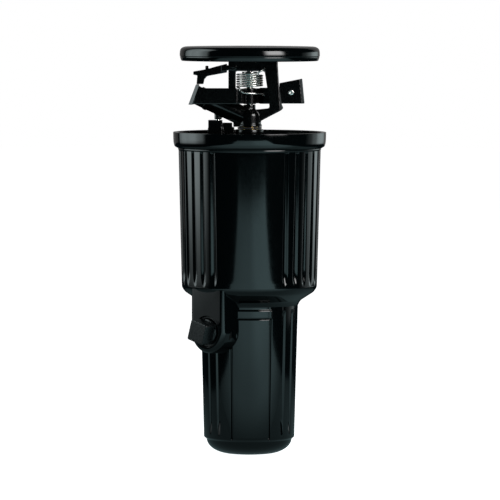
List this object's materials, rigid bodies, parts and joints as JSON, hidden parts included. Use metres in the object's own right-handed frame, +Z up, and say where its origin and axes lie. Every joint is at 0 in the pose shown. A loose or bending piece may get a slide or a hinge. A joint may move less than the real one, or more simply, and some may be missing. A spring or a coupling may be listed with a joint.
{
  "type": "pop up sprinkler",
  "caption": "Pop-up impact sprinkler, raised: round capped head with a sprung arm on a riser, in a stepped fluted case with a bottom inlet and a plugged side inlet.",
  "frame": {"origin": "middle of the ring round the bottom inlet, at the case's lowest face", "axes": "+Z up the riser, the nozzle to -X with the head as shown, the side inlet 40 degrees from -Y towards -X"},
  "size_m": [0.109, 0.109, 0.2905],
  "materials": {
    "case_plastic": "moulded, glossy",
    "cap_plastic": "moulded, glossy",
    "plug_plastic": "moulded, satin",
    "head_plastic": "moulded, satin",
    "inner_plastic": "moulded, satin",
    "grey_plastic": "moulded, satin",
    "rubber": "matt",
    "steel": "drawn stainless wire",
    "brass": "machined"
  },
  "bodies": {
    "case": {"case_shell": "case_plastic", "side_inlet_plug": "plug_plastic", "side_plug_seal": "rubber", "riser_guide": "inner_plastic", "guide_retaining_ring": "steel", "wiper_seal": "rubber", "retract_spring": "steel"},
    "riser": {"riser_tube": "inner_plastic", "riser_base": "inner_plastic", "spring_washer": "steel", "filter_screen": "grey_plastic", "bearing_sleeve": "head_plastic"},
    "lower_collar": {"lower_trip_collar": "head_plastic"},
    "upper_collar": {"upper_trip_collar": "head_plastic"},
    "head": {"drive_body": "head_plastic", "bearing_nipple": "brass", "upper_bearing_washer": "rubber", "lower_bearing_washer": "rubber", "bearing_spring": "steel", "nozzle": "grey_plastic", "fulcrum_pin": "steel", "spring_retainer": "steel", "arm_spring": "steel", "trip_pivot_pin": "steel", "deflector_pin": "head_plastic", "cap": "cap_plastic", "cap_screw_left": "steel", "cap_screw_right": "steel"},
    "arm": {"impact_arm": "head_plastic", "arm_bushing": "brass", "tail_rivet": "steel"},
    "trip": {"trip_lever": "head_plastic", "trip_spring": "steel"},
    "deflector": {"distance_deflector": "head_plastic"}
  },
  "joints": [
    {"name": "riser_slide", "type": "slide", "parent": "case", "child": "riser", "axis": [0, 0, 1], "range_m": [-0.06, 0], "deforming": ["retract_spring"]},
    {"name": "lower_collar_turn", "type": "hinge", "parent": "riser", "child": "lower_collar", "pos_m": [0, 0, 0.216], "axis": [0, 0, 1], "continuous": true},
    {"name": "upper_collar_turn", "type": "hinge", "parent": "riser", "child": "upper_collar", "pos_m": [0, 0, 0.2218], "axis": [0, 0, 1], "continuous": true},
    {"name": "head_turn", "type": "hinge", "parent": "riser", "child": "head", "pos_m": [0, 0, 0.2332], "axis": [0, 0, 1], "continuous": true},
    {"name": "arm_swing", "type": "hinge", "parent": "head", "child": "arm", "pos_m": [0, 0, 0.2493], "axis": [0, 0, 1], "range_deg": [0, 55], "stiffness_Nm_per_rad": 0.02, "springref_deg": -20.05},
    {"name": "trip_swing", "type": "hinge", "parent": "head", "child": "trip", "pos_m": [-0.0225, 0, 0.224], "axis": [0, 0, 1], "range_deg": [-8, 8]},
    {"name": "deflector_tilt", "type": "hinge", "parent": "head", "child": "deflector", "pos_m": [-0.0122, 0, 0.276], "axis": [0, 1, 0], "range_deg": [0, 8]}
  ]
}
